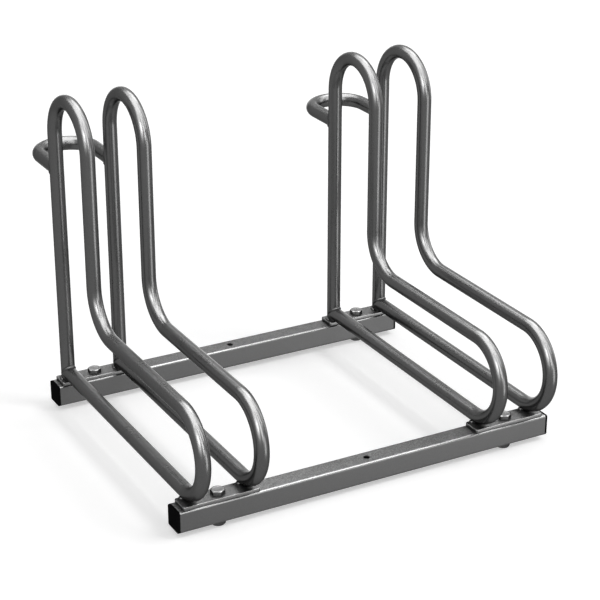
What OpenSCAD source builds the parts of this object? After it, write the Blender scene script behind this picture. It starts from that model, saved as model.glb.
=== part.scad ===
// Floor rack that holds two bicycles by the wheel.
// Two square base rails carry two bays. A bay is a pair of bent tube loops with the wheel slot
// between them, a hoop behind the rear uprights, and a foot plate bolted to each rail.
// Millimetres, +Z up, X along the rails, -Y at the front. The origin is on the floor, at the middle
// of the rack's outline. The rack stands on the nuts under its rails.

/* [Base rails] */
// Length of the steel of a rail, without its end caps
rail_len = 552; // [460:1:900]
// Side of the square rail
rail_size = 30; // [26:1:40]
// Wall thickness of the rail
rail_wall = 2; // [1.2:0.1:2.5]
// Outside radius of the rail's long edges
rail_edge_r = 3; // [2.2:0.1:4]
// Distance between the centre lines of the two rails
rail_spacing = 400; // [340:1:460]
// Diameter of the hole for a floor anchor in the middle of a rail
anchor_hole_d = 9; // [6:0.5:12]

/* [Bays] */
// Distance from the end of a rail's steel to the foot plate next to it
bay_margin = 5; // [1:0.5:60]
// Distance between the centre lines of the two loops of a bay
loop_spacing = 80; // [66:1:90]

/* [Tube loops] */
// Outside diameter of the tube
tube_d = 20; // [16:1:22]
// Wall thickness of the tube
tube_wall = 1.5; // [1:0.1:2.5]
// Centre line radius of every bend of a loop
bend_r = 57.5; // [45:0.5:65]
// Height of a loop above its foot plates
loop_height = 432; // [390:1:500]
// How far behind the centre line of the front rail the front bend starts
bend_start = 13; // [5:1:20]

/* [Rear hoops] */
// How far the hoops' centre lines lie below the tops of the loops
hoop_drop = 117; // [90:1:200]
// Length of a hoop's straight leg, from the centre line of the upright
hoop_leg = 57; // [40:1:80]

/* [Foot plates] */
// How far a foot plate reaches past the outer sides of its two loops
plate_overhang = 4; // [1:0.5:6]
// Thickness of a foot plate
plate_t = 5; // [3:0.5:8]
// How far a plate's long edge stays inside the side of the rail
plate_inset = 1; // [0:0.1:2]
// Radius of a plate's corners
plate_corner_r = 3; // [1:0.5:6]

/* [Bolts and nuts] */
// Thread diameter
bolt_d = 10; // [8:1:10]
// Height of a bolt's lower end above the floor, inside its nut
bolt_recess = 3; // [1:0.5:5]
// Width across the flats of the bolt head and of the nut
hex_af = 17; // [16:0.5:19]
// Height of a bolt head
head_h = 6.4; // [5:0.1:8]
// Height of a nut
nut_h = 8; // [6:0.1:10]
// Free space between a bolt and the wall of its hole
bolt_hole_gap = 0.5; // [0.2:0.1:1]

/* [End caps] */
// Thickness of a cap's flange outside the rail
cap_t = 4; // [2:0.5:6]
// Width of the bevel round the outer face of the flange
cap_bevel = 1; // [0.5:0.1:1.5]
// Length of the plug inside the rail
plug_len = 18; // [12:1:18]
// Wall thickness of the hollow plug
plug_wall = 2; // [1:0.1:3]
// Depth of the space between the plug's core and the rail, which the ribs bridge
rib_depth = 1; // [0.6:0.1:2]
// Width of a rib along the plug
rib_w = 1.6; // [1:0.1:2.5]
// Number of ribs round the plug
rib_count = 3; // [2:1:4]

/* [Welds] */
// Leg length of a weld bead
weld_leg = 2.5; // [1.5:0.1:3]
// Length of the beads between a loop and its front plate
front_weld_len = 8; // [5:0.5:12]
// Root gap between a coped tube end and the tube that it is welded to
root_gap = 0.2; // [0.1:0.05:0.4]

/* [Hidden] */

// Number of sides of round shapes
round_fn = 48;
// Number of sides of the round bars that cut thin fillets
fine_fn = 192;
// Overrun of every cut past the face that it leaves through
overrun = 1;
// Radial clearance between a bolt's shank and the thread crest of its nut
thread_gap = 0.1;
// Clearance between the ribs of a plug and the inside of the rail
plug_gap = 0.1;
// Clearance that keeps a faceted bead just off the round tubes
bead_lift = 0.05;

steel = "#6f7173";
tube_steel = "#5a5c5e";
plate_steel = "#66686a";
zinc = "#8e9092";
weld_steel = "#505254";
black_plastic = "#141516";

// Heights, counted from the floor
rail_z = nut_h;
rail_top = rail_z + rail_size;
plate_top = rail_top + plate_t;
tube_r = tube_d/2;
bore_r = tube_r - tube_wall;
run_z = plate_top + tube_r;
upper_run_z = run_z + 2*bend_r;
crown_z = plate_top + loop_height - tube_r - bend_r;
hoop_z = plate_top + loop_height - hoop_drop;

// Places along the depth: the outline from the front bends to the hoops is centred on Y = 0
loop_reach = rail_spacing - bend_start;
reach_front = loop_reach + bend_r + tube_r;
hoop_r = loop_spacing/2;
reach_rear = hoop_leg + hoop_r + tube_r;
rear_y = (reach_front - reach_rear)/2;
front_y = rear_y - rail_spacing;
front_upright_y = rear_y - 2*bend_r;
knee_y = front_upright_y - bend_r;
front_bend_y = rear_y - loop_reach;

// Places along the rails
plate_len = loop_spacing + tube_d + 2*plate_overhang;
bay_x = rail_len/2 - bay_margin - plate_len/2;
plate_w = rail_size - 2*plate_inset;

// Bolts
bolt_len = plate_top - bolt_recess;
bolt_hole_d = bolt_d + 2*bolt_hole_gap;
hex_corner_r = hex_af/sqrt(3);
hex_chamfer = (hex_corner_r - hex_af/2)/2;
shank_chamfer = bolt_d/10;
bolt_places = [for (sx = [-1, 1], y = [front_y, rear_y]) [sx*bay_x, y]];

// Rail ends
rail_inside = rail_size - 2*rail_wall;
inner_edge_r = rail_edge_r - rail_wall;
rib_size = rail_inside - 2*plug_gap;
plug_size = rib_size - 2*rib_depth;
rib_pitch = plug_len/(rib_count + 1);

// Weld beads
saddle_steps = 40;
bead_points = 5;
saddle_full = [0, 360];
// The bead at a loop's low corner stops short of the foot plate
corner_stop = asin(1 - weld_leg/tube_r) - asin(weld_leg/tube_r)/2;
saddle_open = [-corner_stop, 180 + corner_stop];
// How far a foot bead reaches past the upright's half, in degrees
foot_weld_stop = 20;
// Height of a bead's bulge as a share of its leg
bead_bulge_share = 0.35;

// Square with four rounded corners, centred
module round_square(w, d, r) {
    square([w - 2*r, d], center = true);
    square([w, d - 2*r], center = true);
    for (sx = [-1, 1], sy = [-1, 1])
        translate([sx*(w/2 - r), sy*(d/2 - r)]) circle(r, $fn = round_fn);
}

// Turns a shape so that what is drawn in the XY plane stands in the YZ plane, and Z becomes X
module stand_up() rotate([90, 0, 90]) children();

// Section of the tube
module tube_section()
    difference() {
        circle(tube_r, $fn = round_fn);
        circle(bore_r, $fn = round_fn);
    }

// Straight tube along +Y from y0 to y1 at height z, and the same stretch as a solid bar
module tube_y(y0, y1, z) translate([0, y1, z]) rotate([90, 0, 0]) linear_extrude(y1 - y0) tube_section();
module bar_y(y0, y1, z)
    translate([0, y1, z]) rotate([90, 0, 0]) cylinder(y1 - y0, r = tube_r, $fn = fine_fn);

// Straight upright tube at depth y from z0 to z1
module tube_z(y, z0, z1) translate([0, y, z0]) linear_extrude(z1 - z0) tube_section();

// Bend of a tube: centre line radius r, from angle a0 over sweep degrees
module tube_bend(r, a0, sweep)
    rotate([0, 0, a0]) rotate_extrude(angle = sweep, $fn = 2*round_fn)
        translate([r, 0]) tube_section();

module rail(y) {
    difference() {
        translate([-rail_len/2, y, rail_z + rail_size/2]) stand_up() linear_extrude(rail_len)
            difference() {
                round_square(rail_size, rail_size, rail_edge_r);
                round_square(rail_inside, rail_inside, inner_edge_r);
            }
        for (sx = [-1, 1]) drill(sx*bay_x, y, bolt_hole_d);
        drill(0, y, anchor_hole_d);
    }
}

// Vertical hole through both walls of a rail
module drill(x, y, d)
    translate([x, y, rail_z - overrun]) cylinder(rail_size + 2*overrun, d = d, $fn = round_fn);

// Cap drawn with its flange's inner face on Z = 0 and the plug below
module end_cap() {
    intersection() {
        linear_extrude(cap_t) round_square(rail_size, rail_size, rail_edge_r);
        bevelled_slab();
        rotate([0, 0, 90]) bevelled_slab();
    }
    difference() {
        union() {
            translate([0, 0, -plug_len]) linear_extrude(plug_len)
                square(plug_size, center = true);
            for (i = [1:rib_count])
                translate([0, 0, -i*rib_pitch - rib_w/2]) linear_extrude(rib_w)
                    round_square(rib_size, rib_size, inner_edge_r);
        }
        translate([0, 0, -plug_len - overrun]) linear_extrude(plug_len + overrun)
            square(plug_size - 2*plug_wall, center = true);
    }
}

// Slab of the flange's thickness with the bevel along the outer edge of two sides
module bevelled_slab() {
    side = rail_size/2;
    rotate([90, 0, 0]) linear_extrude(rail_size, center = true)
        polygon([
            [-side, 0], [side, 0], [side, cap_t - cap_bevel], [side - cap_bevel, cap_t],
            [cap_bevel - side, cap_t], [-side, cap_t - cap_bevel]
        ]);
}

module placed_cap(side, y)
    translate([side*rail_len/2, y, rail_z + rail_size/2]) rotate([0, side*90, 0]) end_cap();

// One tube bent three times. The rear upright stands on the rear plate, and the low run comes back
// to it and is coped to fit round it.
module loop(x)
    translate([x, 0, 0]) {
        tube_z(rear_y, plate_top, crown_z);
        translate([0, rear_y - bend_r, crown_z]) stand_up() tube_bend(bend_r, 0, 180);
        tube_z(front_upright_y, upper_run_z + bend_r, crown_z);
        translate([0, knee_y, upper_run_z + bend_r]) stand_up() tube_bend(bend_r, -90, 90);
        tube_y(front_bend_y, knee_y, upper_run_z);
        translate([0, front_bend_y, run_z + bend_r]) stand_up() tube_bend(bend_r, 90, 180);
        difference() {
            tube_y(front_bend_y, rear_y, run_z);
            cope();
        }
    }

// Space that a coped tube end leaves for the rear upright
module cope()
    translate([0, rear_y, plate_top - overrun])
        cylinder(crown_z - plate_top + overrun, r = tube_r + root_gap, $fn = round_fn);

// Hoop behind a bay: a half circle and two legs, coped to the rear uprights of the bay
module hoop(x)
    translate([x, 0, 0]) {
        translate([0, rear_y + hoop_leg, hoop_z]) tube_bend(hoop_r, 0, 180);
        for (sx = [-1, 1]) translate([sx*hoop_r, 0, 0])
            difference() {
                tube_y(rear_y, rear_y + hoop_leg, hoop_z);
                cope();
            }
    }

module foot_plate(x, y)
    translate([x, y, rail_top]) difference() {
        linear_extrude(plate_t) round_square(plate_len, plate_w, plate_corner_r);
        translate([0, 0, -overrun])
            cylinder(plate_t + 2*overrun, d = bolt_hole_d, $fn = round_fn);
    }

// Hexagonal prism, two flats facing along X, with its corners turned down at the ends asked for
module hexagon(h, low_chamfer, high_chamfer) {
    r = hex_corner_r;
    c = hex_chamfer;
    low = low_chamfer ? c : 0;
    high = high_chamfer ? c : 0;
    intersection() {
        rotate([0, 0, 30]) cylinder(h, r = r, $fn = 6);
        rotate_extrude($fn = round_fn)
            polygon([[0, 0], [r - low*2, 0], [r, low], [r, h - high], [r - high*2, h], [0, h]]);
    }
}

module hex_bolt()
    translate([0, 0, plate_top]) {
        hexagon(head_h, false, true);
        rotate([180, 0, 0]) {
            cylinder(bolt_len - shank_chamfer, d = bolt_d, $fn = round_fn);
            translate([0, 0, bolt_len - shank_chamfer])
                cylinder(shank_chamfer, d1 = bolt_d, d2 = bolt_d - 2*shank_chamfer, $fn = round_fn);
        }
    }

module hex_nut()
    difference() {
        hexagon(nut_h, true, true);
        translate([0, 0, -overrun])
            cylinder(nut_h + 2*overrun, d = bolt_d + 2*thread_gap, $fn = round_fn);
    }

// Section of the bead at angle a round a leg of radius r that meets an upright of the same radius.
// The upright stands on Z, the leg runs along +Y. The seam is where both surfaces meet:
// x = r cos a, z = r sin a, y = r |sin a|. The five points are the root, a toe on the leg, two
// points of the bulging face and a toe on the upright. The bulge points along the mean of the two
// tubes' normals.
function saddle_section(a, r, leg) =
    let (
        turn = 90*sin(a),
        x = r*cos(a),
        y = r*abs(sin(a)),
        z = r*sin(a),
        up_y = y - leg*cos(turn),
        side = cos(a) < 0 ? -1 : 1,
        up_x = side*sqrt(max(r*r - up_y*up_y, 0)),
        root = [x, y, z],
        leg_toe = [x, y + leg, z],
        up_toe = [up_x, up_y, z + leg*sin(turn)],
        out = [cos(a) + up_x/r, up_y/r, sin(a)],
        bulge = out*(bead_bulge_share*leg/norm(out))
    )
    [root, leg_toe, leg_toe*2/3 + up_toe/3 + bulge, leg_toe/3 + up_toe*2/3 + bulge, up_toe];

// Weld bead on the saddle seam between two round tubes of radius r, over a range of angles
module saddle_bead(range) {
    r = tube_r + bead_lift;
    closed = range == saddle_full;
    n = saddle_steps;
    m = bead_points;
    rings = [for (i = [0:closed ? n - 1 : n])
        saddle_section(range[0] + (range[1] - range[0])*i/n, r, weld_leg)];
    points = [for (ring = rings, p = ring) p];
    sides = [for (i = [0:n - 1], j = [0:m - 1])
        let (a = i*m + j, b = i*m + (j + 1)%m, k = ((i + 1)%len(rings))*m, c = k + (j + 1)%m, d = k + j)
        each [[a, b, c], [a, c, d]]];
    ends = closed ? [] : [
        for (j = [1:m - 2]) [0, j + 1, j],
        for (j = [1:m - 2]) [n*m, n*m + j, n*m + j + 1]
    ];
    polyhedron(points, concat(sides, ends));
}

module hoop_welds(x)
    for (sx = [-1, 1]) translate([x + sx*hoop_r, rear_y, hoop_z]) saddle_bead(saddle_full);

module corner_welds(x)
    for (sx = [-1, 1])
        translate([x + sx*loop_spacing/2, rear_y, run_z]) rotate([0, 0, 180]) saddle_bead(saddle_open);

// Fillet round the rear of an upright's foot, between the two sides of the low run
module rear_foot_welds(x)
    for (sx = [-1, 1])
        translate([x + sx*loop_spacing/2, rear_y, plate_top]) rotate([0, 0, -foot_weld_stop])
            rotate_extrude(angle = 180 + 2*foot_weld_stop, $fn = round_fn)
                polygon([[tube_r, 0], [tube_r + weld_leg, 0], [tube_r, weld_leg]]);

// Fillets in the wedges between a front plate and the two sides of a loop, up to the plate's rear edge
module front_foot_welds(x) {
    weld_end_y = front_y + plate_w/2;
    tube_side = sqrt(tube_r*tube_r - (tube_r - weld_leg)*(tube_r - weld_leg));
    difference() {
        for (sx = [-1, 1], side = [0, 1])
            translate([x + sx*loop_spacing/2, weld_end_y, plate_top])
                mirror([side, 0, 0]) rotate([90, 0, 0]) linear_extrude(front_weld_len)
                    polygon([
                        [weld_leg, 0], [tube_side + weld_leg, 0],
                        [tube_side, weld_leg], [weld_leg, weld_leg]
                    ]);
        for (sx = [-1, 1]) translate([x + sx*loop_spacing/2, 0, 0]) {
            bar_y(front_bend_y, weld_end_y + overrun, run_z);
            translate([0, front_bend_y, run_z + bend_r]) stand_up()
                rotate([0, 0, 180]) rotate_extrude(angle = 90, $fn = fine_fn)
                    translate([bend_r, 0]) circle(tube_r, $fn = fine_fn);
        }
    }
}

module front_rail() color(steel) rail(front_y);
module rear_rail() color(steel) rail(rear_y);
module front_left_end_cap() color(black_plastic) placed_cap(-1, front_y);
module front_right_end_cap() color(black_plastic) placed_cap(1, front_y);
module rear_left_end_cap() color(black_plastic) placed_cap(-1, rear_y);
module rear_right_end_cap() color(black_plastic) placed_cap(1, rear_y);
module left_bay_outer_loop() color(tube_steel) loop(-bay_x - loop_spacing/2);
module left_bay_inner_loop() color(tube_steel) loop(-bay_x + loop_spacing/2);
module right_bay_inner_loop() color(tube_steel) loop(bay_x - loop_spacing/2);
module right_bay_outer_loop() color(tube_steel) loop(bay_x + loop_spacing/2);
module left_rear_hoop() color(tube_steel) hoop(-bay_x);
module right_rear_hoop() color(tube_steel) hoop(bay_x);
module front_left_foot_plate() color(plate_steel) foot_plate(-bay_x, front_y);
module front_right_foot_plate() color(plate_steel) foot_plate(bay_x, front_y);
module rear_left_foot_plate() color(plate_steel) foot_plate(-bay_x, rear_y);
module rear_right_foot_plate() color(plate_steel) foot_plate(bay_x, rear_y);
module hex_bolts() color(zinc) for (p = bolt_places) translate([p[0], p[1], 0]) hex_bolt();
module hex_nuts() color(zinc) for (p = bolt_places) translate([p[0], p[1], 0]) hex_nut();
module left_hoop_welds() color(weld_steel) hoop_welds(-bay_x);
module right_hoop_welds() color(weld_steel) hoop_welds(bay_x);
module left_corner_welds() color(weld_steel) corner_welds(-bay_x);
module right_corner_welds() color(weld_steel) corner_welds(bay_x);
module left_rear_foot_welds() color(weld_steel) rear_foot_welds(-bay_x);
module right_rear_foot_welds() color(weld_steel) rear_foot_welds(bay_x);
module left_front_foot_welds() color(weld_steel) front_foot_welds(-bay_x);
module right_front_foot_welds() color(weld_steel) front_foot_welds(bay_x);

front_rail();
rear_rail();
front_left_end_cap();
front_right_end_cap();
rear_left_end_cap();
rear_right_end_cap();
left_bay_outer_loop();
left_bay_inner_loop();
right_bay_inner_loop();
right_bay_outer_loop();
left_rear_hoop();
right_rear_hoop();
front_left_foot_plate();
front_right_foot_plate();
rear_left_foot_plate();
rear_right_foot_plate();
hex_bolts();
hex_nuts();
left_hoop_welds();
right_hoop_welds();
left_corner_welds();
right_corner_welds();
left_rear_foot_welds();
right_rear_foot_welds();
left_front_foot_welds();
right_front_foot_welds();
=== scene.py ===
"""Floor bike rack: the dressed model.

Two square base rails carry two bays of bent round tube. Sizes are in millimetres, in the frame of the
rack: +Z up, -Y at the front, the floor at Z = 0. The pieces are surfaces on a grid of two parameters, or
a section carried along a path, and they become metres when they go in.
"""

import logging
import math
from dataclasses import dataclass, replace
from enum import Enum

import bpy
import numpy as np
from bpy.types import ID, Material, Node, NodeSocket, NodeTree, Object, World
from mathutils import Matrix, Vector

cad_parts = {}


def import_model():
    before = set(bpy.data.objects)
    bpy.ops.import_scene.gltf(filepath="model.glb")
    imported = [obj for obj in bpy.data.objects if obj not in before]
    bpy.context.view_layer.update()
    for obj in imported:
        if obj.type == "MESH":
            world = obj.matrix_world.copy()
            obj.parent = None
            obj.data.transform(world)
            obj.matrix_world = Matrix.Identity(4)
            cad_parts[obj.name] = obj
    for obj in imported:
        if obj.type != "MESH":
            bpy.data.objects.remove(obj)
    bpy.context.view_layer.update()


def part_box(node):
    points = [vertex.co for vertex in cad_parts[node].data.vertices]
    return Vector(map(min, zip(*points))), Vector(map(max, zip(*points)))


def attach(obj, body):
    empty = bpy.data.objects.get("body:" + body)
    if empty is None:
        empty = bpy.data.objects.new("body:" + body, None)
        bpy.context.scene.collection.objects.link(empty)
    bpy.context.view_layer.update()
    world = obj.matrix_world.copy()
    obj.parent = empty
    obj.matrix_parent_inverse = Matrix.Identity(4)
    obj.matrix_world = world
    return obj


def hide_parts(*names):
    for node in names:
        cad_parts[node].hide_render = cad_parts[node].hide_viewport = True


MM = 0.001
BODY = "root"
LOG = logging.getLogger("bike_rack")

Array = np.ndarray


class Slot(Enum):
    """The material slots of the record."""

    RAIL = "rail_steel"
    TUBE = "tube_steel"
    PLATE = "plate_steel"
    FASTENER = "fastener_steel"
    WELD = "weld_steel"
    CAP = "cap_plastic"


class Side(Enum):
    """The two ends of the rack, with the sign of X at each one."""

    LEFT = -1
    RIGHT = 1


class Row(Enum):
    """The two rails, with the Y of their centre lines."""

    FRONT = -226.25
    REAR = 173.75


# sizes that more than one sub-assembly is built to, in millimetres
REAR_Y = Row.REAR.value
TUBE_R = 10.0
BEND_R = 57.5
FRONT_BEND_Y = -213.25
LOOP_OFFSET = 40.0
HOOP_Z = 358.0
RAIL_HALF = 15.0
RAIL_EDGE_R = 3.0
RAIL_Z = 23.0
PLATE_TOP = 43.0
BOLT_X = 217.0
BOLT_HOLE_R = 5.5


# Colours and nodes


def linear(hex_colour: str) -> tuple[float, float, float, float]:
    """Turns an sRGB hex colour into linear light.

    A channel c becomes c / 12.92 up to 0.04045, and ((c + 0.055) / 1.055) ** 2.4 above it.

    Args:
        hex_colour: the colour as "#rrggbb".

    Returns:
        Red, green, blue and an alpha of 1.
    """
    channels = [int(hex_colour[i:i + 2], 16) / 255 for i in (1, 3, 5)]
    r, g, b = (c / 12.92 if c <= 0.04045 else ((c + 0.055) / 1.055) ** 2.4 for c in channels)
    return r, g, b, 1.0


def add_node(tree: NodeTree, kind: str, settings: dict | None = None, links: dict | None = None) -> Node:
    """Adds a node with its settings and its links.

    Args:
        tree: where the node goes.
        kind: the node's type.
        settings: values of its properties, or else of its inputs, by name or number.
        links: output sockets that go into its inputs, by name or number.

    Returns:
        The new node.
    """
    node = tree.nodes.new(kind)
    for key, value in (settings or {}).items():
        if isinstance(key, str) and hasattr(node, key):
            setattr(node, key, value)
        else:
            node.inputs[key].default_value = value
    for key, socket in (links or {}).items():
        tree.links.new(socket, node.inputs[key])
    return node


def empty_tree(owner: Material | World) -> NodeTree:
    """The node tree of a material or a world, switched on and cleared."""
    owner.use_nodes = True
    owner.node_tree.nodes.clear()
    return owner.node_tree


def add_object(name: str, data: ID) -> Object:
    """Makes an object of a mesh, a lamp or a camera, and links it to the scene."""
    thing = bpy.data.objects.new(name, data)
    bpy.context.scene.collection.objects.link(thing)
    return thing


# Finishes


@dataclass(frozen=True)
class ZincPlating:
    """Satin zinc plating over drawn steel, with a fine grain and corners painted lighter as a highlight.

    The plating follows the steel: a grain of crystals, which shows as specks beside the ground and breaks
    up what it mirrors, and a roughness that wanders from place to place. Corners are smoother, and painted
    lighter as a highlight, where a point attribute says so. The rim tint keeps grazing angles near the
    ground's tone.
    """

    name: str
    ground: str
    speck: str
    roughness: float
    rim: str = "#b0b0b0"
    # real grains are a tenth of this and would not show, so they are drawn a millimetre and a half wide
    grain_mm: float = 1.5
    grain_depth_mm: float = 0.01
    bump_strength: float = 0.5
    # the grain's noise is all ground up to the first value, and all speck from the second
    crystals: tuple[float, float] = (0.34, 0.68)
    # dust settles in the grain from this height up, and below it a faint share shows in an even tone
    settled_mm: float = 0.0
    settled_edge_mm: float = 0.5
    faint_share: float = 0.1
    even_tone: float = 0.5
    wander_mm: float = 45.0
    wander: tuple[float, float] = (0.3, 0.7)
    roughness_swing: float = 0.02
    # the corners' painted highlight colour, lighter than the ground, and their smoother roughness
    corner: str = "#666666"
    corner_roughness: float = 0.24

    def material(self) -> Material:
        """Builds the material.

        Returns:
            The material, with its grain in colour, roughness and relief.
        """
        material = bpy.data.materials.new("zinc_plated_" + self.name)
        tree = empty_tree(material)
        where = add_node(tree, "ShaderNodeTexCoord").outputs["Object"]
        # one noise cell per grain, so the noise scale is one over the grain's size in metres
        grain, wander = (
            add_node(tree, "ShaderNodeTexNoise", {"Scale": 1 / (size * MM), "Detail": detail},
                     {"Vector": where}).outputs["Fac"]
            for size, detail in ((self.grain_mm, 1.0), (self.wander_mm, 3.0)))
        # 1 where a corner is painted light as a highlight
        painted_highlight = add_node(tree, "ShaderNodeAttribute", {"attribute_name": "painted_highlight"}).outputs["Fac"]
        height = add_node(tree, "ShaderNodeSeparateXYZ", {}, {0: where}).outputs["Z"]
        # an end that is left out is 0 or 1
        ends = ("From Min", "From Max", "To Min", "To Max")
        edge = ((self.settled_mm - self.settled_edge_mm) * MM, self.settled_mm * MM, self.faint_share)
        swing = (self.roughness - self.roughness_swing, self.roughness + self.roughness_swing)
        settled, crystals, satin = (
            add_node(tree, "ShaderNodeMapRange", dict(zip(ends, values)), {"Value": socket}).outputs[0]
            for values, socket in ((edge, height), (self.crystals, grain), (self.wander + swing, wander)))
        tone = add_node(tree, "ShaderNodeMix", {"data_type": "FLOAT", 2: self.even_tone},
                        {0: settled, 3: crystals}).outputs[0]
        shades = {6: linear(self.ground), 7: linear(self.speck)}
        plated = add_node(tree, "ShaderNodeMix", {"data_type": "RGBA", **shades}, {0: tone}).outputs[2]
        # the corners are painted lighter here: a painted highlight
        colour = add_node(tree, "ShaderNodeMix", {"data_type": "RGBA", 7: linear(self.corner)},
                          {0: painted_highlight, 6: plated}).outputs[2]
        rough = add_node(tree, "ShaderNodeMix", {"data_type": "FLOAT", 3: self.corner_roughness},
                         {0: painted_highlight, 2: satin}).outputs[0]
        relief = {"Strength": self.bump_strength, "Distance": self.grain_depth_mm * MM}
        bump = add_node(tree, "ShaderNodeBump", relief, {"Height": tone}).outputs["Normal"]
        shader = add_node(tree, "ShaderNodeBsdfPrincipled",
                          {"Metallic": 1.0, "Specular Tint": linear(self.rim)},
                          {"Base Color": colour, "Roughness": rough, "Normal": bump})
        add_node(tree, "ShaderNodeOutputMaterial", {}, {"Surface": shader.outputs[0]})
        return material


@dataclass(frozen=True)
class MouldedPlastic:
    """Black polyethylene, injection moulded, with the fine matt grain of a spark-eroded mould."""

    name: str
    colour: str
    roughness: float
    # the grain's lows are this much smoother, and its highs this much rougher
    smoother: float = 0.06
    rougher: float = 0.08
    grain_mm: float = 0.5
    grain_depth_mm: float = 0.02
    bump_strength: float = 0.6

    def material(self) -> Material:
        """Builds the material.

        Returns:
            A material with a matt grain, so that it stays black beside the steel.
        """
        material = bpy.data.materials.new(self.name)
        tree = empty_tree(material)
        where = add_node(tree, "ShaderNodeTexCoord").outputs["Object"]
        grain = add_node(tree, "ShaderNodeTexNoise", {"Scale": 1 / (self.grain_mm * MM), "Detail": 2.0},
                         {"Vector": where}).outputs["Fac"]
        rough = add_node(tree, "ShaderNodeMapRange",
                         {"To Min": self.roughness - self.smoother, "To Max": self.roughness + self.rougher},
                         {"Value": grain}).outputs[0]
        relief = {"Strength": self.bump_strength, "Distance": self.grain_depth_mm * MM}
        bump = add_node(tree, "ShaderNodeBump", relief, {"Height": grain}).outputs["Normal"]
        shader = add_node(tree, "ShaderNodeBsdfPrincipled",
                          {"Base Color": linear(self.colour), "Specular IOR Level": 0.0},
                          {"Roughness": rough, "Normal": bump})
        add_node(tree, "ShaderNodeOutputMaterial", {}, {"Surface": shader.outputs[0]})
        return material


FINISHES = {
    Slot.RAIL: ZincPlating("square_tube", "#343434", "#585858", 0.38, grain_depth_mm=0.08, settled_mm=37.9),
    Slot.TUBE: ZincPlating("bent_tube", "#4d4d4d", "#525252", 0.28, grain_depth_mm=0.001),
    Slot.PLATE: ZincPlating("flat_bar", "#3c3c3c", "#545454", 0.42, grain_depth_mm=0.06),
    Slot.FASTENER: ZincPlating("bolt_steel", "#565656", "#666666", 0.32),
    Slot.WELD: ZincPlating("weld_bead", "#3a3a3a", "#484848", 0.36),
    Slot.CAP: MouldedPlastic("moulded_black_polyethylene", "#101011", 0.66),
}
# the nuts are painted darker than the bolts: painted shade, for the shadow under the rails where they sit
NUT_PAINTED_SHADE_FINISH = ZincPlating("nut_steel_painted_shade", "#383838", "#444444", 0.40)


# Surfaces


@dataclass
class Surface:
    """Points in millimetres with the faces of one closed shell.

    The highlight mask is optional: one value for each point, 1 where a corner is painted light as a
    highlight.
    """

    points: Array
    quads: Array
    tris: Array
    painted_highlight: Array | None = None

    def volume(self) -> float:
        """Volume of the shell: the sum of a . (b x c) / 6 over its triangles, above 0 if they face out."""
        quads = self.points[self.quads]
        parts = np.concatenate([quads[:, :3], quads[:, [0, 2, 3]], self.points[self.tris]])
        return float(np.einsum("ij,ij->", parts[:, 0], np.cross(parts[:, 1], parts[:, 2]))) / 6

    def facing_out(self) -> "Surface":
        """The same shell with its faces turned outwards."""
        if self.volume() >= 0:
            return self
        return replace(self, quads=self.quads[:, ::-1], tris=self.tris[:, ::-1])

    def moved(self, x: float, y: float, z: float) -> "Surface":
        """The same shell at another place."""
        return replace(self, points=self.points + (x, y, z))


def corners_of(numbers: Array) -> Array:
    """Rows of (i, j), (i, j+1), (i+1, j+1), (i+1, j) for the cells of a grid that closes round j."""
    after = np.roll(numbers, -1, axis=1)
    return np.stack([numbers[:-1], after[:-1], after[1:], numbers[1:]], axis=2).reshape(-1, 4)


def shell(rings: Array, closed_path: bool = False) -> Surface:
    """Joins rings of points into one closed shell.

    Quads join neighbouring rings. A closed path joins the last ring to the first, and an open one ends in
    a fan of triangles round the middle of its first and last ring.

    Args:
        rings: points with shape (rings, points in a ring, 3).
        closed_path: whether the last ring meets the first.

    Returns:
        The shell, with its faces outwards.
    """
    rows, cols = rings.shape[:2]
    numbers = np.arange(rows * cols).reshape(rows, cols)
    points, tris = rings.reshape(-1, 3), np.zeros((0, 3), int)
    if closed_path:
        numbers = np.vstack([numbers, numbers[:1]])
    else:
        first, last = numbers[0], numbers[-1]
        points = np.vstack([points, rings[0].mean(axis=0), rings[-1].mean(axis=0)])
        low, high = np.full(cols, rows * cols), np.full(cols, rows * cols + 1)
        tris = np.vstack([np.stack([low, np.roll(first, -1), first], 1),
                          np.stack([last, np.roll(last, -1), high], 1)])
    return Surface(points, corners_of(numbers), tris).facing_out()


def arc(start_deg: float, end_deg: float, steps: int) -> Array:
    """Unit vectors along an arc, with shape (steps + 1, 2), at angles from the first axis."""
    a = np.radians(np.linspace(start_deg, end_deg, steps + 1))
    return np.stack([np.cos(a), np.sin(a)], axis=-1)


def rounded_outline(half_w: Array | tuple, half_d: Array | tuple, corner: Array | tuple, steps: int = 6,
                    flat_w: int = 1, flat_d: int = 1) -> Array:
    """Outlines of rectangles with rounded corners, anticlockwise from the lower left corner's end.

    Each corner is its centre plus its radius times a quarter circle. The sides are divided evenly.

    Args:
        half_w: half widths, one for each outline.
        half_d: half depths.
        corner: corner radii.
        steps: steps of each corner.
        flat_w: divisions of the sides along X.
        flat_d: divisions of the sides along Y.

    Returns:
        Points with shape (outlines, points, 2).
    """
    w, d, r = (np.atleast_1d(np.asarray(v, float))[:, None] for v in (half_w, half_d, corner))
    quarters = []
    for turn, sx, sy in ((270, 1, -1), (0, 1, 1), (90, -1, 1), (180, -1, -1)):
        a = arc(turn, turn + 90, steps)
        quarters.append(np.stack([sx * (w - r) + r * a[:, 0], sy * (d - r) + r * a[:, 1]], axis=-1))
    pieces = []
    for k, divisions in enumerate((flat_w, flat_d, flat_w, flat_d)):
        share = np.linspace(0, 1, divisions + 1)[1:-1, None]
        before, after = quarters[k - 1][:, -1:], quarters[k][:, :1]
        pieces += [before + (after - before) * share, quarters[k]]
    return np.concatenate(pieces, axis=1)


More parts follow.
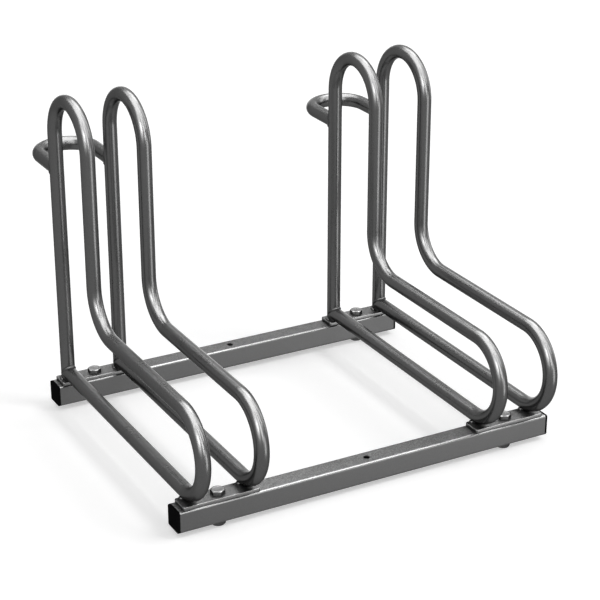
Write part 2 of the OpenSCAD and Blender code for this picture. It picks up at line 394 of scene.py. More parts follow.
@dataclass
class Shop:
    """Turns surfaces into dressed pieces of the rack."""

    materials: dict[Slot, Material]

    def put_in(self, name: str, surfaces: list[Surface], slot: Slot, node: str, sharp_deg: float = 35.0,
               flats: bool = False, material: Material | None = None) -> None:
        """Makes one object of some shells in place of a CAD node.

        Args:
            name: the object's name.
            surfaces: the shells, in millimetres.
            slot: the material slot.
            node: the CAD node.
            sharp_deg: edges that turn more than this stay sharp.
            flats: whether large flat faces keep their normals beside small roundings.
            material: the piece's own material, if it isn't the slot's.
        """
        starts = np.cumsum([0] + [len(s.points) for s in surfaces])
        quads = np.vstack([s.quads + n for s, n in zip(surfaces, starts)])
        tris = np.vstack([s.tris + n for s, n in zip(surfaces, starts)])
        mesh = bpy.data.meshes.new(name)
        mesh.vertices.add(int(starts[-1]))
        mesh.vertices.foreach_set("co", (np.vstack([s.points for s in surfaces]) * MM).ravel())
        mesh.loops.add(quads.size + tris.size)
        mesh.loops.foreach_set("vertex_index", np.concatenate([quads.ravel(), tris.ravel()]).astype(np.int32))
        mesh.polygons.add(len(quads) + len(tris))
        begins = np.concatenate([np.arange(len(quads)) * 4, quads.size + np.arange(len(tris)) * 3])
        mesh.polygons.foreach_set("loop_start", begins.astype(np.int32))
        # the mask of corners painted light as a highlight goes on as a point attribute
        if surfaces[0].painted_highlight is not None:
            highlight_points = np.concatenate([s.painted_highlight for s in surfaces])
            mesh.attributes.new("painted_highlight", "FLOAT", "POINT").data.foreach_set("value", highlight_points)
        mesh.update(calc_edges=True)
        if mesh.validate():
            LOG.warning("%s had faces that were mended", name)
        mesh.shade_smooth()
        mesh.set_sharp_from_angle(angle=math.radians(sharp_deg))
        mesh.materials.append(material or self.materials[slot])
        piece = add_object(name, mesh)
        if flats:
            piece.modifiers.new("flat_faces_first", "WEIGHTED_NORMAL").keep_sharp = True
        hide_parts(node)
        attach(piece, BODY)
        LOG.info("%s: %d shells, %d triangles", name, len(surfaces), 2 * len(quads) + len(tris))


@dataclass
class Assembly:
    """A sub-assembly of the rack, with the shop that makes its pieces."""

    shop: Shop


# Bent tube


@dataclass(frozen=True)
class Straight:
    """A straight stretch of a tube."""

    length: float


@dataclass(frozen=True)
class Bend:
    """A bend of a tube. A positive sweep turns left as one walks along the path."""

    radius: float
    sweep_deg: float
    step_deg: float = 3.75


@dataclass
class Path:
    """Stations along a tube's centre line, in its own plane."""

    places: Array
    headings: Array


def walk(start: tuple[float, float], heading_deg: float, moves: list[Straight | Bend]) -> Path:
    """Walks along straights and bends.

    After a straight the place is p + L d, where d is the heading. On a bend it is c + R (cos a, sin a),
    where c lies R to the side that the bend turns to.

    Args:
        start: first place.
        heading_deg: first heading, from the plane's first axis.
        moves: the straights and bends in order.

    Returns:
        The stations.
    """
    place, heading = np.array(start, float), math.radians(heading_deg)
    places, headings = [place[None]], [np.array([heading])]
    for move in moves:
        if isinstance(move, Straight):
            new = place + move.length * np.array([[math.cos(heading), math.sin(heading)]])
            new_headings = np.array([heading])
        else:
            steps = round(abs(move.sweep_deg) / move.step_deg)
            new_headings = heading + np.radians(np.linspace(0, move.sweep_deg, steps + 1)[1:])
            side = math.copysign(move.radius, move.sweep_deg)
            centre = place + side * np.array((-math.sin(heading), math.cos(heading)))
            new = centre + side * np.stack([np.sin(new_headings), -np.cos(new_headings)], axis=-1)
        places.append(new)
        headings.append(new_headings)
        place, heading = new[-1], new_headings[-1]
    return Path(np.vstack(places), np.concatenate(headings))


@dataclass
class BentTube(Assembly):
    """Round tube with a wall, carried along a path that lies in one plane."""

    wall: float = 1.5
    root_gap: float = 0.2
    cope_start: float = 15.0
    columns: int = 64

    def rings(self, path: Path, axes: Array, radius: float) -> Array:
        """Rings of points round the path, each c + r (cos f W + sin f N).

        W is the normal of the path's plane, and N lies in the plane, to the right of the heading.

        Args:
            path: the stations.
            axes: the plane's two axes and its normal.
            radius: the rings' radius.

        Returns:
            Points with shape (stations, columns, 3).
        """
        f = np.linspace(0, 2 * np.pi, self.columns, endpoint=False)
        right = np.stack([np.sin(path.headings), -np.cos(path.headings)], axis=-1) @ axes[:2]
        centres = path.places @ axes[:2]
        return (centres[:, None] + radius * (np.cos(f)[None, :, None] * axes[2]
                                             + np.sin(f)[None, :, None] * right[:, None]))

    def cope(self, ring: Array, upright_x: float, side: int) -> None:
        """Cuts the end of a run to the shape of the rear upright that it meets.

        A point at distance x beside the upright's axis moves to y = y0 + side sqrt(R^2 - x^2), where R is
        the upright's radius and the root gap, and the side is -1 for a run from the front.
        """
        beside, reach = ring[:, 0] - upright_x, TUBE_R + self.root_gap
        ring[:, 1] = REAR_Y + side * np.sqrt(np.maximum(reach ** 2 - beside ** 2, 0))

    def surface(self, path: Path, axes: Array, x: float, copes: list[tuple[int, float, int]]) -> Surface:
        """The tube's outer and inner skin as one closed shell.

        Args:
            path: the stations.
            axes: the plane's two axes and its normal.
            x: where the plane's origin lies along X.
            copes: the station's number, the upright's X and the side of each coped end.

        Returns:
            The shell.
        """
        outer, inner = (self.rings(path, axes, radius) for radius in (TUBE_R, TUBE_R - self.wall))
        for rings in (outer, inner):
            rings[..., 0] += x
            for station, upright_x, side in copes:
                self.cope(rings[station], upright_x, side)
        return shell(np.concatenate([outer, inner[::-1]]), True)


@dataclass
class WheelLoop(BentTube):
    """One loop: rear upright, half-circle top, front upright, knee, upper run, front bend, low run."""

    crown_z: float = 407.5
    knee_start_z: float = 225.5

    def path(self) -> Path:
        """Walks from the rear foot over the top to the coped end of the low run."""
        knee_y = REAR_Y - 3 * BEND_R
        return walk((REAR_Y, PLATE_TOP), 90, [
            Straight(self.crown_z - PLATE_TOP), Bend(BEND_R, 180),
            Straight(self.crown_z - self.knee_start_z), Bend(BEND_R, -90),
            Straight(knee_y - FRONT_BEND_Y), Bend(BEND_R, 180),
            Straight(REAR_Y - self.cope_start - FRONT_BEND_Y), Straight(self.cope_start)])

    def build(self, node: str) -> None:
        """Makes the loop.

        Args:
            node: the CAD node that the loop stands for.
        """
        x = middle_x(node)
        axes = np.array([(0, 1, 0), (0, 0, 1), (1, 0, 0)], float)
        tube = self.surface(self.path(), axes, x, [(-1, x, -1)])
        self.shop.put_in(node + "_tube", [tube], Slot.TUBE, node)


@dataclass
class RearHoop(BentTube):
    """The hoop behind a bay: two legs, coped to the rear uprights, and a half circle."""

    leg: float = 57.0

    def build(self, node: str) -> None:
        """Makes the hoop.

        Args:
            node: the CAD node that the hoop stands for.
        """
        x, r, straight = middle_x(node), LOOP_OFFSET, self.leg - self.cope_start
        path = walk((-r, REAR_Y), 90, [
            Straight(self.cope_start), Straight(straight), Bend(r, -180),
            Straight(straight), Straight(self.cope_start)])
        tube = self.surface(path, np.eye(3), x, [(0, x - r, 1), (-1, x + r, 1)])
        self.shop.put_in(node + "_tube", [tube.moved(0, 0, HOOP_Z)], Slot.TUBE, node)


def middle_x(node: str) -> float:
    """X of the middle of a CAD node, in millimetres."""
    low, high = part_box(node)
    return (low[0] + high[0]) / 2 / MM


# Weld beads


@dataclass
class WeldBeads(Assembly):
    """Ripple-faced beads: on the seams of coped tubes, round the rear feet and beside the front feet."""

    leg: float = 2.5
    swell: float = 0.8
    ripple_mm: float = 1.5
    ripple_depth: float = 0.1
    ripple_bow: float = 0.9
    row_mm: float = 0.25
    least_rows: int = 8
    across: int = 10
    # an open bead's ends have this share of its size, and a saddle's seam is this much longer than a circle
    end_share: float = 0.25
    saddle_stretch: float = 1.25
    corner_stop_deg: float = 41.3
    foot_stop_deg: float = 20.0
    plate_edge_y: float = -212.25
    front_length: float = 8.0

    def bead(self, root: Array, low_toe: Array, high_toe: Array, out: Array, closed: bool) -> Surface:
        """A bead between two toe lines.

        Across the bead b runs from 0 at one toe to 1 at the other. The face is the straight line between
        the toes plus the outward direction times sin(pi b) (swell + ripple). The ripple is a cosine of
        the distance along the seam, bowed across the bead. An open bead draws in towards its root over
        its first and last leg length.

        Args:
            root: points of the seam, one for each row.
            low_toe: points of one toe line.
            high_toe: points of the other.
            out: outward unit vectors.
            closed: whether the seam runs all the way round.

        Returns:
            The bead's shell.
        """
        b = np.linspace(0, 1, self.across + 1)
        s = np.concatenate([[0], np.cumsum(np.linalg.norm(np.diff(root, axis=0), axis=1))])
        waves = (round(s[-1] / self.ripple_mm) / s[-1]) if closed else 1 / self.ripple_mm
        phase = 2 * np.pi * s[:, None] * waves - self.ripple_bow * np.pi * np.sin(np.pi * b)
        height = np.sin(np.pi * b) * (self.swell + self.ripple_depth * np.cos(phase))
        chord = low_toe[:, None] * (1 - b)[:, None] + high_toe[:, None] * b[:, None]
        face = chord + out[:, None] * height[..., None]
        rings = np.concatenate([face, root[:, None]], axis=1)
        if not closed:
            ends = np.minimum(s, s[-1] - s) / self.leg
            swelling = np.sqrt(np.sin(np.pi / 2 * np.clip(ends, 0, 1)))
            drawn_in = self.end_share + (1 - self.end_share) * swelling
            rings = root[:, None] + (rings - root[:, None]) * drawn_in[:, None, None]
        return shell(rings[:-1] if closed else rings, closed)

    def rows(self, length: float) -> int:
        """Number of rows of points on a seam of a given length."""
        return max(int(length / self.row_mm), self.least_rows)

    def saddle(self, start_deg: float, end_deg: float) -> Surface:
        """The bead where a leg along +Y meets an upright of the same radius.

        The seam at angle a is (r cos a, r |sin a|, r sin a). One toe lies a leg length further along Y.
        The other lies on the upright, at y = r |sin a| - leg cos t and z = r sin a + leg sin t with
        t = 90 degrees times sin a.

        Args:
            start_deg: first angle of the seam.
            end_deg: last angle, a full turn further for a closed bead.

        Returns:
            The bead, with the seam's centre at the origin.
        """
        r, leg = TUBE_R, self.leg
        sweep = math.radians(end_deg - start_deg)
        a = np.radians(np.linspace(start_deg, end_deg, self.rows(self.saddle_stretch * r * sweep)))
        turn = np.pi / 2 * np.sin(a)
        x, y, z = r * np.cos(a), r * np.abs(np.sin(a)), r * np.sin(a)
        up_y = y - leg * np.cos(turn)
        up_x = np.where(x < 0, -1, 1) * np.sqrt(np.maximum(r * r - up_y ** 2, 0))
        root = np.stack([x, y, z], 1)
        leg_toe = np.stack([x, y + leg, z], 1)
        up_toe = np.stack([up_x, up_y, z + leg * np.sin(turn)], 1)
        out = np.stack([np.cos(a) + up_x / r, up_y / r, np.sin(a)], 1)
        out /= np.linalg.norm(out, axis=1, keepdims=True)
        return self.bead(root, leg_toe, up_toe, out, math.isclose(end_deg - start_deg, 360))

    def rear_foot(self) -> Surface:
        """The fillet round the rear of an upright's foot: a corner section turned about its axis."""
        r, leg = TUBE_R, self.leg
        stop = self.foot_stop_deg
        a = np.radians(np.linspace(-stop, 180 + stop, self.rows(math.radians(180 + 2 * stop) * r)))
        ray = np.stack([np.cos(a), np.sin(a), np.zeros_like(a)], 1)
        up = np.array((0.0, 0.0, 1.0))
        out = (ray + up) / math.sqrt(2)
        return self.bead(ray * r, ray * (r + leg), ray * r + up * leg, out, False)

    def front_foot(self, side: int) -> Surface:
        """The fillet in the wedge between a front plate and one side of a loop's bend.

        The tube's underside is z = r + lift - sqrt(r^2 - x^2), where the front bend gives the lift. The
        toes are on the plate and on the tube's side, one leg length up.

        Args:
            side: -1 for the tube's left side, 1 for its right.

        Returns:
            The bead, with the plate's top at Z = 0 and the loop's plane at X = 0.
        """
        r, leg = TUBE_R, self.leg
        edge, length = self.plate_edge_y, self.front_length
        y = np.linspace(edge - length, edge, self.rows(length))
        ahead = np.maximum(FRONT_BEND_Y - y, 0)
        lift = BEND_R - np.sqrt(BEND_R ** 2 - ahead ** 2)
        one = np.ones_like(y)
        beside = math.sqrt(r * r - (r - leg) ** 2)
        root = np.stack([side * leg * one, y, (r - math.sqrt(r * r - leg * leg)) / 2 * one + lift / 2], 1)
        plate_toe = np.stack([side * (beside + leg) * one, y, 0 * one], 1)
        tube_toe = np.stack([side * beside * one, y, leg + lift], 1)
        out = np.stack([side * one, 0 * one, one], 1) / math.sqrt(2)
        return self.bead(root, plate_toe, tube_toe, out, False)

    def build(self, side: Side) -> None:
        """Makes the beads of one bay.

        Args:
            side: the bay.
        """
        bay = side.name.lower()
        x = middle_x(f"{bay}_rear_hoop")
        places = (x - LOOP_OFFSET, x + LOOP_OFFSET)
        hoop = self.saddle(0, 360)
        corner = self.saddle(-self.corner_stop_deg, 180 + self.corner_stop_deg)
        corner.points *= (-1, -1, 1)
        sets = {
            "hoop_welds": [hoop.moved(p, REAR_Y, HOOP_Z) for p in places],
            "corner_welds": [corner.moved(p, REAR_Y, PLATE_TOP + TUBE_R) for p in places],
            "rear_foot_welds": [self.rear_foot().moved(p, REAR_Y, PLATE_TOP) for p in places],
            "front_foot_welds": [self.front_foot(s).moved(p, 0, PLATE_TOP) for p in places for s in (-1, 1)],
        }
        for kind, beads in sets.items():
            node = f"{bay}_{kind}"
            self.shop.put_in(node + "_beads", beads, Slot.WELD, node, sharp_deg=60)


# Rails, caps and plates


@dataclass
class BaseRail(Assembly):
    """Square tube with rounded edges, bored through both walls for two bolts and an anchor."""

    length: float = 552.0
    wall: float = 2.0
    # X and radius of each vertical bore
    bores: tuple[tuple[float, float], ...] = ((-BOLT_X, BOLT_HOLE_R), (0.0, 4.5), (BOLT_X, BOLT_HOLE_R))
    edge_steps: int = 6
    window: int = 8

    def surface(self) -> Surface:
        """The rail as one closed shell, round its own centre line.

        The skin is a grid: rounded squares with the same flats, outside and inside, at stations along X.
        On the top and bottom flats the cells of a window round each bore are left out. Quads join the
        window's edge to a circle, whose points are the edge's own directions times the bore's radius,
        and a wall joins the outer circle to the inner one.

        Returns:
            The shell.
        """
        n, flat = self.window, RAIL_HALF - RAIL_EDGE_R
        spots = [x + np.linspace(-flat, flat, n + 1) for x, _ in self.bores]
        xs = np.concatenate([[-self.length / 2], *spots, [self.length / 2]])
        halves, corners = (RAIL_HALF, RAIL_HALF - self.wall), (RAIL_EDGE_R, RAIL_EDGE_R - self.wall)
        outline = rounded_outline(halves, halves, corners, self.edge_steps, flat_w=n)
        count, cols = len(xs), outline.shape[1]
        # the outline starts on the lower flat, just after the lower left corner
        outline = np.roll(outline, 1, axis=1)
        skins = [np.stack(np.broadcast_arrays(xs[:, None], o[:, 0], o[:, 1]), axis=-1) for o in outline]
        points = np.concatenate([s.reshape(-1, 3) for s in skins])
        numbers = np.arange(2 * count * cols).reshape(2, count, cols)
        loop = np.concatenate([numbers[0], numbers[1][::-1], numbers[0][:1]])
        keep = np.ones((len(loop) - 1, cols), bool)
        quads, extra, total = [], [], len(points)
        for k, (x, radius) in enumerate(self.bores):
            row = 1 + k * (n + 1)
            for col in (0, n + 2 * self.edge_steps + 1):
                keep[row:row + n, col:col + n] = False
                keep[2 * count - 1 - row - n:2 * count - 1 - row, col:col + n] = False
                circles = []
                for layer in (0, 1):
                    block = numbers[layer, row:row + n + 1, col:col + n + 1]
                    edge = np.concatenate([block[0, :-1], block[:-1, -1], block[-1, :0:-1], block[:0:-1, 0]])
                    ray = points[edge] - (x, 0, 0)
                    ray[:, 2] = 0
                    ring = ray / np.linalg.norm(ray, axis=1, keepdims=True) * radius + (x, 0, 0)
                    ring[:, 2] = points[edge, 2]
                    circle = total + np.arange(len(edge))
                    total += len(edge)
                    extra.append(ring)
                    circles.append(circle)
                    # the inner skin faces the other way
                    quads.append(corners_of(np.stack([edge, circle][::1 - 2 * layer])))
                quads.append(corners_of(np.stack(circles)))
        quads.append(corners_of(loop)[keep.ravel()])
        rail = Surface(np.vstack([points, *extra]), np.vstack(quads), np.zeros((0, 3), int)).facing_out()
        # the middle of each outer rounded corner is painted light as a highlight
        rail.painted_highlight = np.zeros(len(rail.points))
        rail.painted_highlight[numbers[0][:, self.corner_columns() % cols]] = 1.0
        return rail

    def corner_columns(self) -> Array:
        """Columns in the middle third of each rounded corner, which may run past a full turn."""
        n, steps = self.window, self.edge_steps
        starts = np.array([n, n + steps + 1, 2 * n + 2 * steps + 1, 2 * n + 3 * steps + 2])
        return (starts[:, None] + np.arange(steps // 3, steps - steps // 3 + 1)).ravel()

    def build(self, row: Row) -> None:
        """Makes one rail.

        Args:
            row: front or rear.
        """
        node = f"{row.name.lower()}_rail"
        tube = self.surface().moved(0, row.value, RAIL_Z)
        self.shop.put_in(node + "_tube", [tube], Slot.RAIL, node, flats=True)


@dataclass
class EndCap(Assembly):
    """Moulded cap: a crowned flange outside the rail, and a hollow plug with ribs inside it."""

    rail_end: float = 276.0
    flange: float = 4.0
    crown: float = 0.3
    # the crowned face has rings at these shares of its half width
    face_shares: tuple[float, ...] = (0.15, 0.4, 0.7, 1.0)
    rounding: float = 1.2
    plug_length: float = 18.0
    plug_half: float = 11.9
    plug_wall: float = 2.0
    plug_corner: float = 1.0
    hollow_corner: float = 0.8
    rib_half: float = 12.9
    rib_width: float = 1.6
    rib_count: int = 3
    # each rib is raked like a barb, steeper on the side that faces out of the rail
    steep_rake: float = 0.15
    easy_rake: float = 0.5

    def profile(self) -> Array:
        """The profile from the middle of the face, round the flange and ribs, into the hollow plug.

        Returns:
            Rows of distance outwards from the rail's end, half width and corner radius.
        """
        side, edge_r = RAIL_HALF - self.rounding, RAIL_EDGE_R - self.rounding
        rows = [(self.flange - self.crown * s * s, side * s, edge_r * s) for s in self.face_shares]
        rows += [(self.flange - self.crown - self.rounding * (1 - up), side + self.rounding * out,
                  RAIL_EDGE_R - self.rounding * (1 - out)) for up, out in arc(22.5, 90, 3)]
        corner = self.plug_corner
        rows += [(0.0, RAIL_HALF, RAIL_EDGE_R), (0.0, self.plug_half, corner)]
        pitch = self.plug_length / (self.rib_count + 1)
        for k in range(1, self.rib_count + 1):
            near, far = -k * pitch + self.rib_width / 2, -k * pitch - self.rib_width / 2
            rows += [(near, self.plug_half, corner), (near - self.steep_rake, self.rib_half, corner),
                     (far + self.easy_rake, self.rib_half, corner), (far, self.plug_half, corner)]
        hollow = self.plug_half - self.plug_wall
        rows += [(-self.plug_length, self.plug_half, corner),
                 (-self.plug_length, hollow, self.hollow_corner), (0.0, hollow, self.hollow_corner)]
        return np.array(rows)

    def build(self, side: Side, row: Row) -> None:
        """Makes one cap.

        Args:
            side: the end of the rail.
            row: front or rear.
        """
        node = f"{row.name.lower()}_{side.name.lower()}_end_cap"
        out, half, corner = self.profile().T
        outline = rounded_outline(half, half, corner)
        x = np.broadcast_to(side.value * (self.rail_end + out)[:, None], outline.shape[:2])
        rings = np.stack([x, outline[..., 0] + row.value, outline[..., 1] + RAIL_Z], axis=-1)
        self.shop.put_in(node + "_moulding", [shell(rings)], Slot.CAP, node, flats=True)


@dataclass
class FootPlate(Assembly):
    """Flat bar, sheared to length, with eased edges and one bolt hole."""

    length: float = 108.0
    width: float = 28.0
    thickness: float = 5.0
    corner_r: float = 3.0
    ease: float = 0.6
    ease_steps: int = 4
    long_steps: int = 16
    short_steps: int = 4
    # the painted highlight on an eased edge reaches down to where its normal has this share across
    highlight_share: float = 0.2

    def build(self, side: Side, row: Row) -> None:
        """Makes one plate: its rounded outline, drawn in at the edges and joined to the hole's circle.

        Args:
            side: the bay.
            row: front or rear.
        """
        node = f"{row.name.lower()}_{side.name.lower()}_foot_plate"
        along, up = arc(90, 0, self.ease_steps).T
        inset = self.ease * (1 - np.concatenate([along, along[::-1]]))
        height = np.concatenate([self.thickness - self.ease * (1 - up), self.ease * (1 - up[::-1])])
        outline = rounded_outline(self.length / 2 - inset, self.width / 2 - inset, self.corner_r - inset,
                                  flat_w=self.long_steps, flat_d=self.short_steps)
        heights = np.broadcast_to(height[:, None, None], (*outline.shape[:2], 1))
        outer = np.concatenate([outline, heights], axis=-1)
        ray = outline[0] / np.linalg.norm(outline[0], axis=1, keepdims=True) * BOLT_HOLE_R
        hole = np.stack([np.column_stack([ray, np.full(len(ray), z)]) for z in (0, self.thickness)])
        rings = np.concatenate([hole, outer])
        plate = shell(rings, True).moved(middle_x(node), row.value, PLATE_TOP - self.thickness)
        # the rings run up the hole, then down over the eased edges, of which the upper ones are painted light
        # as a highlight
        highlight_points = np.concatenate([[0, 0], along > self.highlight_share, np.zeros(len(along))])
        plate.painted_highlight = np.repeat(highlight_points, rings.shape[1]).astype(float)
        self.shop.put_in(node + "_flat_bar", [plate], Slot.PLATE, node, flats=True)


# Bolts and nuts


# the radius and the height of a turned ring, each one value or one for each column
Ring = tuple[Array | float, Array | float]


@dataclass
class Fasteners(Assembly):
    """Hexagon bolts with threaded shanks through the plates and rails, and the nuts below them."""

    across_flats: float = 17.0
    head: float = 6.4
    nut: float = 8.0
    washer_face: float = 0.5
    # the washer face and the circle at a chamfered end, as shares of the width across flats
    washer_share: float = 0.47
    circle_share: float = 0.475
    chamfer_deg: float = 30.0
    # the dish in a head: the hub and the edge of its floor, and its rim
    dish_radii: tuple[float, float, float] = (2.0, 6.0, 6.6)
    dish_depth: float = 0.25
    thread_r: float = 5.0
    thread_gap: float = 0.1
    thread_depth: float = 0.6
    pitch: float = 1.5
    rings_per_pitch: int = 6
    plain_shank: float = 6.0
    point: float = 1.0
    nut_lead: float = 0.2
    shank_end: float = 3.0
    columns: int = 72

    def turns(self) -> Array:
        """Angles of the columns."""
        return np.linspace(0, 2 * np.pi, self.columns, endpoint=False)

    def hexagon(self) -> Array:
        """Distance to the hexagon at each column: half the width over the cosine from a flat's middle."""
        off = (self.turns() + np.pi / 6) % (np.pi / 3) - np.pi / 6
        return self.across_flats / 2 / np.cos(off)

    def turned_edge(self, z: float, towards: int) -> list[Ring]:
        """Rings of a hexagon's end: a circle, and where the chamfer's cone meets the flats.

        Args:
            z: height of the end face.
            towards: 1 for an end that faces up, -1 for one that faces down.

        Returns:
            The two rings.
        """
        circle = self.circle_share * self.across_flats
        drop = (self.hexagon() - circle) * math.tan(math.radians(self.chamfer_deg))
        return [(circle, z), (self.hexagon(), z - towards * drop)]

    def thread(self, low: float, high: float, radius: float) -> list[Ring]:
        """Rings of a threaded cylinder.

        The radius at height z and angle f is r - depth times a triangle wave of (z / pitch - f / 2 pi).
        The wave fades out towards both ends.

        Args:
            low: lower end.
            high: upper end.
            radius: radius of the crests.

        Returns:
            The rings, from the lower end up.
        """
        rings, steps = [], int((high - low) / self.pitch * self.rings_per_pitch)
        for z in np.linspace(low, high, steps + 1):
            wave = np.abs(((z / self.pitch - self.turns() / (2 * np.pi)) % 1) * 2 - 1)
            fade = min(1.0, (z - low) / self.pitch, (high - z) / self.pitch)
            rings.append((radius - self.thread_depth * fade * wave, z))
        return rings

    def turned(self, rings: list[Ring], closed: bool) -> Surface:
        """A shell from rings of radius and height, turned about Z."""
        radius, z = (np.stack([np.broadcast_to(ring[k], self.columns) for ring in rings]) for k in (0, 1))
        f = self.turns()
        return shell(np.stack([radius * np.cos(f), radius * np.sin(f), z], axis=-1), closed)

    def bolt(self) -> Surface:
        """A bolt: dished top, chamfer, hexagon, washer face, threaded shank and its chamfered end."""
        seat, top, face = PLATE_TOP, PLATE_TOP + self.head, PLATE_TOP + self.washer_face
        washer = self.washer_share * self.across_flats
        hub, edge, rim = self.dish_radii
        rings = [(hub, top - self.dish_depth), (edge, top - self.dish_depth), (rim, top)]
        rings += self.turned_edge(top, 1)
        rings += [(self.hexagon(), face), (washer, face), (washer, seat), (self.thread_r, seat)]
        rings += self.thread(self.shank_end + self.point, seat - self.plain_shank, self.thread_r)[::-1]
        rings += [(self.thread_r - self.point, self.shank_end)]
        return self.turned(rings, False)

    def hex_nut(self) -> Surface:
        """A nut: both ends chamfered, and a threaded bore that clears the bolt's thread."""
        bore = self.thread_r + self.thread_gap
        rings = [(bore, self.nut)] + self.turned_edge(self.nut, 1)
        rings += self.turned_edge(0.0, -1)[::-1] + [(bore, 0.0)]
        rings += self.thread(self.nut_lead, self.nut - self.nut_lead, bore)
        return self.turned(rings, True)

    def build(self) -> None:
        """Makes the four bolts as one piece, and the four nuts as another."""
        places = [(side.value * BOLT_X, row.value, 0.0) for side in Side for row in Row]
        # the nuts take the finish painted darker, as painted shade under the rails
        kinds = (("hex_bolts", self.bolt(), None), ("hex_nuts", self.hex_nut(), NUT_PAINTED_SHADE_FINISH.material()))
        for node, one, material in kinds:
            self.shop.put_in(node + "_turned", [one.moved(*place) for place in places], Slot.FASTENER, node,
                             flats=True, material=material)


# Studio


@dataclass(frozen=True)
class Softbox:
    """A large soft lamp at a direction and size as seen from the rack, which only the metal mirrors.

    Azimuth 0 is at the front, and 90 is on the right.
    """

    name: str
    azimuth: float
    elevation: float
    width_deg: float
    height_deg: float
    radiance: float
    distance: float = 6.0
    aim_z: float = 0.2

    def hang(self) -> None:
        """Hangs the lamp, turned to the rack. Its power is its radiance times its area times pi."""
        width, height = (2 * self.distance * math.tan(math.radians(degrees / 2))
                         for degrees in (self.width_deg, self.height_deg))
        name = self.name + "_softbox"
        data = bpy.data.lights.new(name, "AREA")
        data.shape = "RECTANGLE"
        data.size, data.size_y = width, height
        data.energy = self.radiance * width * height * math.pi
        lamp = add_object(name, data)
        turn, rise = math.radians(self.azimuth), math.radians(self.elevation)
        out = self.distance * math.cos(rise)
        lamp.location = (out * math.sin(turn), -out * math.cos(turn),
                         self.distance * math.sin(rise) + self.aim_z)
        lamp.rotation_euler = (math.pi / 2 - rise, 0, turn)
        lamp.visible_camera = False
        lamp.visible_diffuse = False


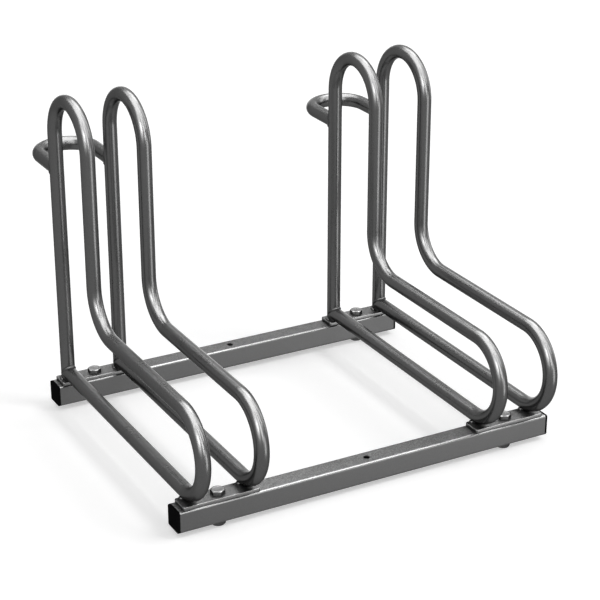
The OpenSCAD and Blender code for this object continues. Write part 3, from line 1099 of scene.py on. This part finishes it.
@dataclass
class Studio:
    """Pale floor, white surroundings, soft lamps and the camera of the photograph."""

    lens_mm: float = 108.0
    yaw_deg: float = 28.576
    pitch_deg: float = 23.419
    eye: tuple[float, float, float] = (-1.0723, -2.01275, 1.164)
    far_clip: float = 100.0
    floor_half: float = 30.0
    ambient: float = 0.7
    floor_albedo: float = 0.76
    floor_glow: float = 0.4
    softboxes: tuple[Softbox, ...] = (
        Softbox("overhead", 0, 90, 50, 50, 10.0),
        Softbox("left_strip", -30, 33, 17, 18, 19.0),
        Softbox("left", -40, 35, 33, 54, 6.0),
        Softbox("front", 10, 35, 16, 54, 12.0),
        Softbox("right", 50, 43, 15, 38, 9.5),
        Softbox("low_right", 30, -8.5, 20, 33, 5.3),
        Softbox("side", 90, 17, 19, 50, 5.6),
        Softbox("side_high", 100, 52, 30, 20, 8.5),
        Softbox("rear_right", 145, 52, 35, 20, 13.0),
        Softbox("rear_wide", 140, 8.5, 79, 67, 1.1),
        Softbox("rear_low", 150, 0, 40, 24, 2.2),
        Softbox("rear_left", -165, 52, 18, 20, 7.5),
    )

    def build(self) -> None:
        """Makes the floor, the world, the lamps and the camera."""
        self.floor()
        self.world()
        self.sun("key_sun", (0.44, -0.38, 0.79), strength=0.9, angle_deg=20.0)
        self.sun("fill_sun", (0.75, -0.62, 0.35), strength=0.4, angle_deg=30.0)
        for softbox in self.softboxes:
            softbox.hang()
        self.camera()

    def seen_directly(self, tree: NodeTree) -> NodeSocket:
        """Adds a value that is 1 for camera, mirror and transmitted rays.

        Args:
            tree: where the value is worked out.

        Returns:
            Its socket.
        """
        rays = add_node(tree, "ShaderNodeLightPath").outputs
        seen = rays["Is Camera Ray"]
        for kind in ("Is Glossy Ray", "Is Transmission Ray"):
            seen = add_node(tree, "ShaderNodeMath", {"operation": "MAXIMUM"},
                            {0: seen, 1: rays[kind]}).outputs[0]
        return seen

    def floor(self) -> None:
        """Makes a pale floor that keeps the rack's shadow."""
        h = self.floor_half
        mesh = bpy.data.meshes.new("studio_floor")
        mesh.from_pydata([(-h, -h, 0), (h, -h, 0), (h, h, 0), (-h, h, 0)], [], [(0, 1, 2, 3)])
        floor = add_object("studio_floor", mesh)
        material = bpy.data.materials.new("pale_studio_floor")
        tree = empty_tree(material)
        glow = add_node(tree, "ShaderNodeMath", {"operation": "MULTIPLY", 1: self.floor_glow},
                        {0: self.seen_directly(tree)})
        matt = add_node(tree, "ShaderNodeBsdfDiffuse", {"Color": (*[self.floor_albedo] * 3, 1)})
        light = add_node(tree, "ShaderNodeEmission", {"Color": (1, 1, 1, 1)}, {"Strength": glow.outputs[0]})
        both = add_node(tree, "ShaderNodeAddShader", {}, {0: matt.outputs[0], 1: light.outputs[0]})
        add_node(tree, "ShaderNodeOutputMaterial", {}, {"Surface": both.outputs[0]})
        mesh.materials.append(material)
        # mirror rays and the light of the low softboxes pass the floor, and meet the white beyond it
        floor.visible_glossy = False
        floor.visible_shadow = False

    def world(self) -> None:
        """Makes the white surroundings, which light the rack at the ambient level."""
        world = bpy.data.worlds.new("white_studio")
        bpy.context.scene.world = world
        tree = empty_tree(world)
        level = add_node(tree, "ShaderNodeMapRange", {"To Min": self.ambient, "To Max": 1.0},
                         {"Value": self.seen_directly(tree)})
        sky = add_node(tree, "ShaderNodeBackground", {"Color": (1, 1, 1, 1)}, {"Strength": level.outputs[0]})
        add_node(tree, "ShaderNodeOutputWorld", {}, {"Surface": sky.outputs[0]})

    def sun(self, name: str, towards: tuple[float, float, float], strength: float, angle_deg: float) -> None:
        """Makes a soft lamp far away.

        Args:
            name: the lamp's name.
            towards: direction from the rack to the lamp.
            strength: watts per square metre on a surface that faces it.
            angle_deg: how wide it looks from the rack.
        """
        data = bpy.data.lights.new(name, "SUN")
        data.energy = strength
        data.angle = math.radians(angle_deg)
        lamp = add_object(name, data)
        x, y, z = towards
        lamp.rotation_euler = (math.acos(z / math.hypot(x, y, z)), 0, math.atan2(y, x) + math.pi / 2)
        lamp.visible_glossy = False

    def camera(self) -> None:
        """Makes the camera at the photograph's angle."""
        data = bpy.data.cameras.new("photo_camera")
        data.lens = self.lens_mm
        data.clip_end = self.far_clip
        camera = add_object("photo_camera", data)
        camera.location = self.eye
        camera.rotation_euler = (math.radians(90 - self.pitch_deg), 0, -math.radians(self.yaw_deg))
        bpy.context.scene.camera = camera
        bpy.context.scene.view_settings.view_transform = "Standard"


def main() -> None:
    """Loads the rack, dresses it and sets up the studio."""
    logging.basicConfig(level=logging.INFO, format="%(name)s: %(message)s")
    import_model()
    shop = Shop({slot: finish.material() for slot, finish in FINISHES.items()})
    for row in Row:
        BaseRail(shop).build(row)
        for side in Side:
            EndCap(shop).build(side, row)
            FootPlate(shop).build(side, row)
    for side in Side:
        bay = side.name.lower()
        for which in ("outer", "inner"):
            WheelLoop(shop).build(f"{bay}_bay_{which}_loop")
        RearHoop(shop).build(f"{bay}_rear_hoop")
        WeldBeads(shop).build(side)
    Fasteners(shop).build()
    Studio().build()


if __name__ == "__main__":
    main()
